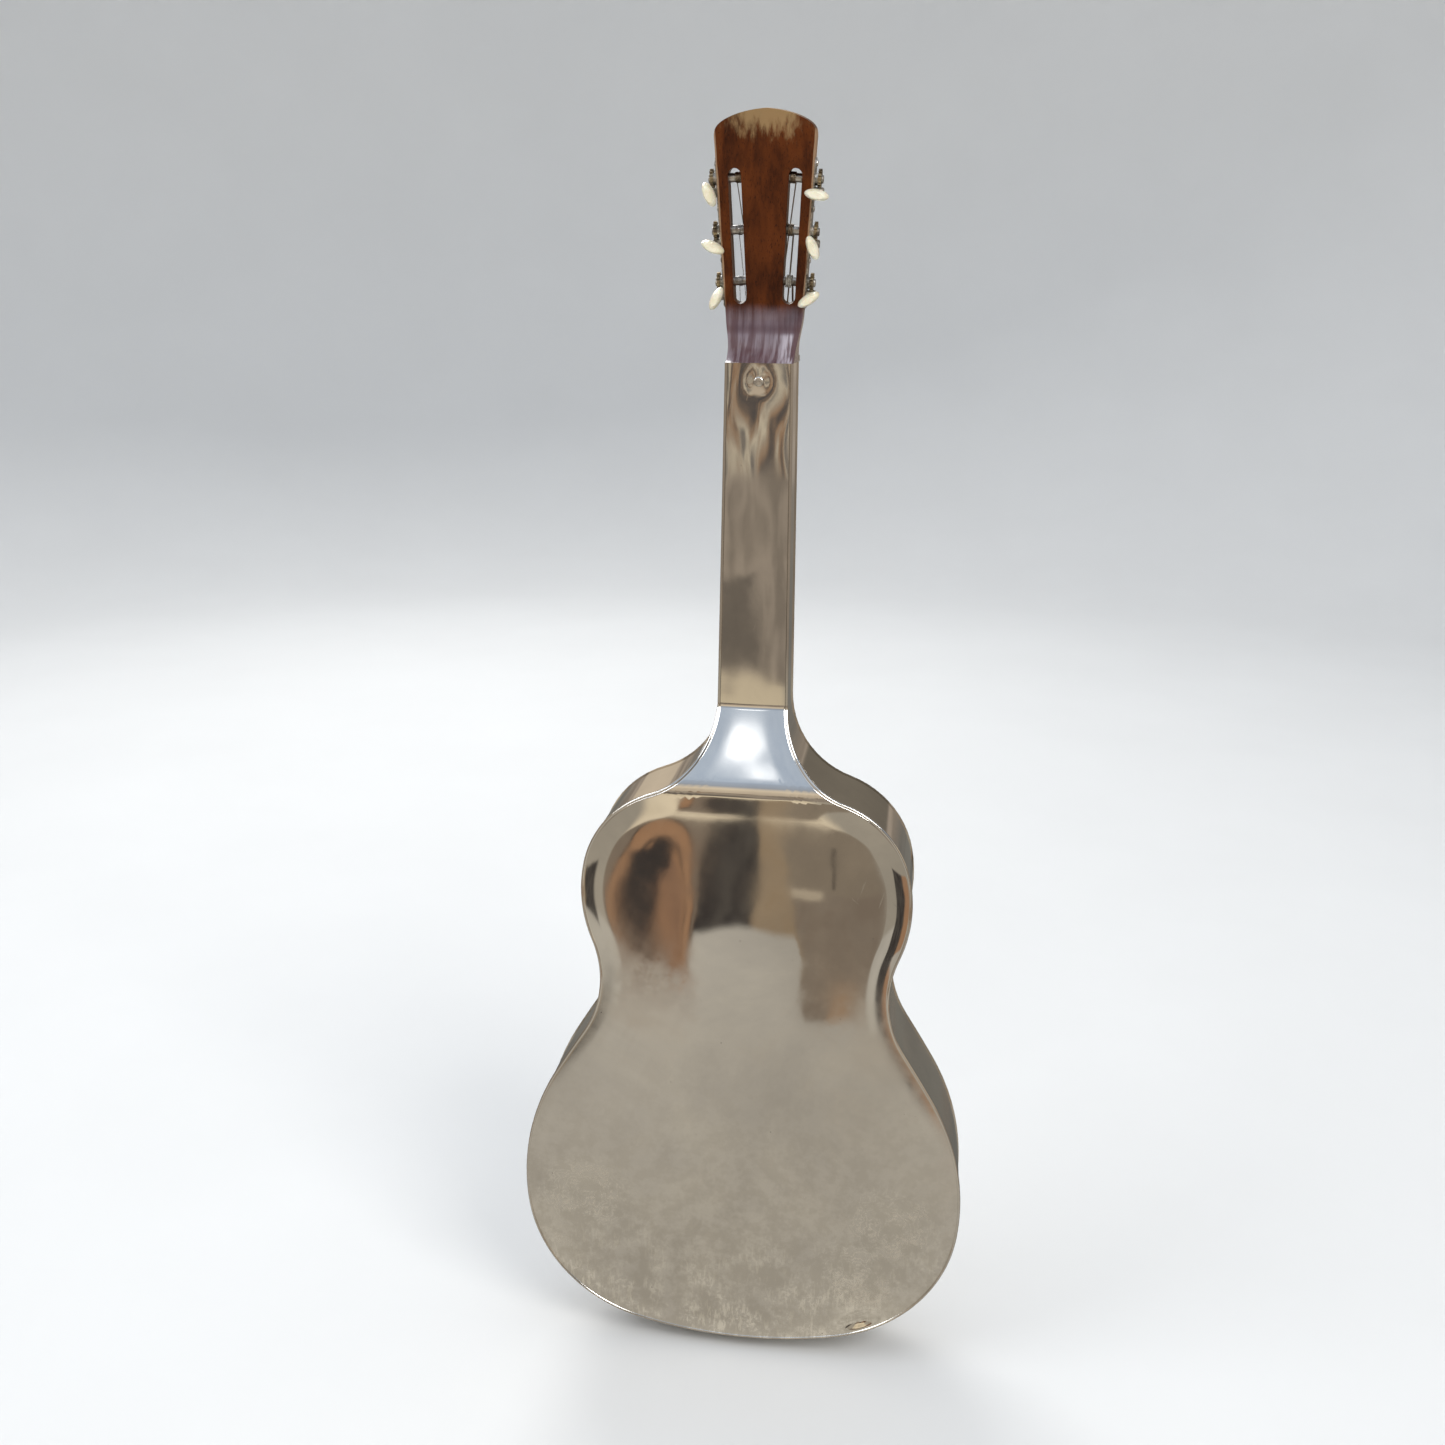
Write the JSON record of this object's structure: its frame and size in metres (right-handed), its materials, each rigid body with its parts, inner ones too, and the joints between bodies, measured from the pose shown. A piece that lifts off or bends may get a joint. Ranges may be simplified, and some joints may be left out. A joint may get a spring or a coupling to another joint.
{
  "type": "resonator guitar",
  "caption": "All-metal resonator guitar with a hollow square neck, a T-shaped bridge over spun cones and a slotted wooden head with geared tuners.",
  "frame": {"origin": "on the strap pin's axis at the tail edge of the body, at mid depth of the sides", "axes": "+Z from the tail to the head, -Y toward the strings, +Y toward the back, +X toward the treble side"},
  "size_m": [0.3616, 0.1005, 0.9942],
  "materials": {
    "plated_body": "polished nickel plate, hazed and finely scratched",
    "plated_trim": "polished nickel plate",
    "inner_sheet": "dull inner sheet",
    "spun_aluminium": "spun, fine turning marks",
    "cast_aluminium": "sand cast, filed",
    "maple": "bare maple",
    "inner_wood": "rough sawn",
    "rosewood": "oiled, worn",
    "fret_wire": "worn nickel silver",
    "pearl": "pearl",
    "nut_steel": "satin",
    "mahogany": "red-brown lacquer worn to bare wood at the crown and edges",
    "screw_steel": "nickelled, slightly tarnished",
    "tuner_metal": "nickelled steel, tarnished",
    "gear_brass": "aged brass",
    "ivoroid": "cream celluloid",
    "string_wire": "wound string",
    "plain_string": "plain steel string"
  },
  "bodies": {
    "guitar": {"body_back": "plated_body", "body_side_bass": "plated_body", "body_side_treble": "plated_body", "body_top": "plated_body", "bridge": "cast_aluminium", "cone_bass_lower": "spun_aluminium", "cone_bass_upper": "spun_aluminium", "cone_treble": "spun_aluminium", "cover_screws": "screw_steel", "coverplate": "plated_trim", "fingerboard": "rosewood", "frets": "fret_wire", "grille_bass": "plated_trim", "grille_treble": "plated_trim", "hand_rest": "plated_trim", "headstock": "mahogany", "neck_screw": "screw_steel", "nut": "nut_steel", "position_markers": "pearl", "saddle": "maple", "soundwell": "inner_sheet", "strap_pin": "plated_trim", "string_1": "plain_string", "string_2": "plain_string", "string_3": "string_wire", "string_4": "string_wire", "string_5": "string_wire", "string_6": "string_wire", "tail_block": "inner_wood", "tailpiece": "plated_trim", "tuner_plate_bass": "tuner_metal", "tuner_plate_screws": "screw_steel", "tuner_plate_treble": "tuner_metal"},
    "tuner_key_6": {"worm_6": "tuner_metal", "button_6": "ivoroid"},
    "string_post_6": {"gear_6": "gear_brass", "post_6": "tuner_metal"},
    "tuner_key_1": {"worm_1": "tuner_metal", "button_1": "ivoroid"},
    "string_post_1": {"gear_1": "gear_brass", "post_1": "tuner_metal"},
    "tuner_key_5": {"worm_5": "tuner_metal", "button_5": "ivoroid"},
    "string_post_5": {"gear_5": "gear_brass", "post_5": "tuner_metal"},
    "tuner_key_2": {"worm_2": "tuner_metal", "button_2": "ivoroid"},
    "string_post_2": {"gear_2": "gear_brass", "post_2": "tuner_metal"},
    "tuner_key_4": {"worm_4": "tuner_metal", "button_4": "ivoroid"},
    "string_post_4": {"gear_4": "gear_brass", "post_4": "tuner_metal"},
    "tuner_key_3": {"worm_3": "tuner_metal", "button_3": "ivoroid"},
    "string_post_3": {"gear_3": "gear_brass", "post_3": "tuner_metal"}
  },
  "joints": [
    {"name": "key_turn_6", "type": "hinge", "parent": "guitar", "child": "tuner_key_6", "pos_m": [-0.03351, -0.02767, 0.85394], "axis": [0, 0.9903, -0.1392], "continuous": true},
    {"name": "post_turn_6", "type": "hinge", "parent": "guitar", "child": "string_post_6", "pos_m": [-0.02989, -0.02638, 0.8631], "axis": [-0.998, -0.0088, -0.0626], "continuous": true},
    {"name": "key_turn_1", "type": "hinge", "parent": "guitar", "child": "tuner_key_1", "pos_m": [0.03351, -0.02767, 0.85394], "axis": [0, 0.9903, -0.1392], "continuous": true},
    {"name": "post_turn_1", "type": "hinge", "parent": "guitar", "child": "string_post_1", "pos_m": [0.02989, -0.02638, 0.8631], "axis": [0.998, -0.0088, -0.0626], "continuous": true},
    {"name": "key_turn_5", "type": "hinge", "parent": "guitar", "child": "tuner_key_5", "pos_m": [-0.03576, -0.02273, 0.8891], "axis": [0, 0.9903, -0.1392], "continuous": true},
    {"name": "post_turn_5", "type": "hinge", "parent": "guitar", "child": "string_post_5", "pos_m": [-0.03214, -0.02144, 0.89826], "axis": [-0.998, -0.0088, -0.0626], "continuous": true},
    {"name": "key_turn_2", "type": "hinge", "parent": "guitar", "child": "tuner_key_2", "pos_m": [0.03576, -0.02273, 0.8891], "axis": [0, 0.9903, -0.1392], "continuous": true},
    {"name": "post_turn_2", "type": "hinge", "parent": "guitar", "child": "string_post_2", "pos_m": [0.03214, -0.02144, 0.89826], "axis": [0.998, -0.0088, -0.0626], "continuous": true},
    {"name": "key_turn_4", "type": "hinge", "parent": "guitar", "child": "tuner_key_4", "pos_m": [-0.03801, -0.01779, 0.92425], "axis": [0, 0.9903, -0.1392], "continuous": true},
    {"name": "post_turn_4", "type": "hinge", "parent": "guitar", "child": "string_post_4", "pos_m": [-0.03438, -0.0165, 0.93341], "axis": [-0.998, -0.0088, -0.0626], "continuous": true},
    {"name": "key_turn_3", "type": "hinge", "parent": "guitar", "child": "tuner_key_3", "pos_m": [0.03801, -0.01779, 0.92425], "axis": [0, 0.9903, -0.1392], "continuous": true},
    {"name": "post_turn_3", "type": "hinge", "parent": "guitar", "child": "string_post_3", "pos_m": [0.03438, -0.0165, 0.93341], "axis": [0.998, -0.0088, -0.0626], "continuous": true}
  ],
  "couplings": [
    {"joint": "post_turn_6", "follows": "key_turn_6", "ratio": -0.071429},
    {"joint": "post_turn_1", "follows": "key_turn_1", "ratio": -0.071429},
    {"joint": "post_turn_5", "follows": "key_turn_5", "ratio": -0.071429},
    {"joint": "post_turn_2", "follows": "key_turn_2", "ratio": -0.071429},
    {"joint": "post_turn_4", "follows": "key_turn_4", "ratio": -0.071429},
    {"joint": "post_turn_3", "follows": "key_turn_3", "ratio": -0.071429}
  ]
}
